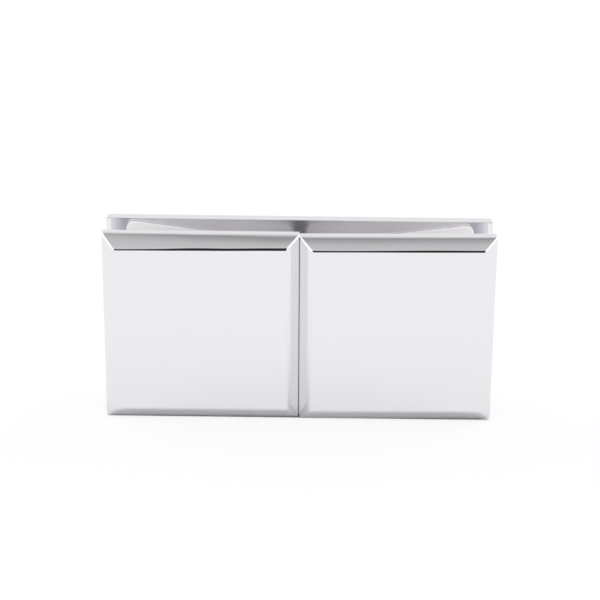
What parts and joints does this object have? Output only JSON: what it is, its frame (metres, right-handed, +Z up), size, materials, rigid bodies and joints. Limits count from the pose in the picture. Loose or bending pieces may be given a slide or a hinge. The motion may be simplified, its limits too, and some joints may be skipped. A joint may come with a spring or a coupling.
{
  "type": "shower glass clamp",
  "caption": "Straight glass-to-glass shower clamp: a long bevelled back plate, square bevelled front pads, clear gaskets and countersunk screws that join glass panes edge to edge.",
  "frame": {"origin": "middle of the base: the bottom centre of the clamp's box, on the surface that it stands on", "axes": "+Z up, +X along the back plate to the right as seen from the front pads, +Y from the front pads to the back plate, through the glass"},
  "size_m": [0.102, 0.0226, 0.0514],
  "materials": {
    "polished_chrome": "mirror-polished chrome plate on solid brass, very slightly wavy",
    "screw_steel": "stainless screw, satin",
    "clear_vinyl": "soft clear vinyl, slightly milky"
  },
  "bodies": {
    "root": {"back_plate": "polished_chrome", "front_pad_left": "polished_chrome", "front_pad_right": "polished_chrome", "back_gasket_left": "clear_vinyl", "back_gasket_right": "clear_vinyl", "front_gasket_left": "clear_vinyl", "front_gasket_right": "clear_vinyl", "clamp_screw_upper_left": "screw_steel", "clamp_screw_lower_left": "screw_steel", "clamp_screw_upper_right": "screw_steel", "clamp_screw_lower_right": "screw_steel", "screw_sleeve_upper_left": "clear_vinyl", "screw_sleeve_lower_left": "clear_vinyl", "screw_sleeve_upper_right": "clear_vinyl", "screw_sleeve_lower_right": "clear_vinyl"}
  },
  "joints": []
}
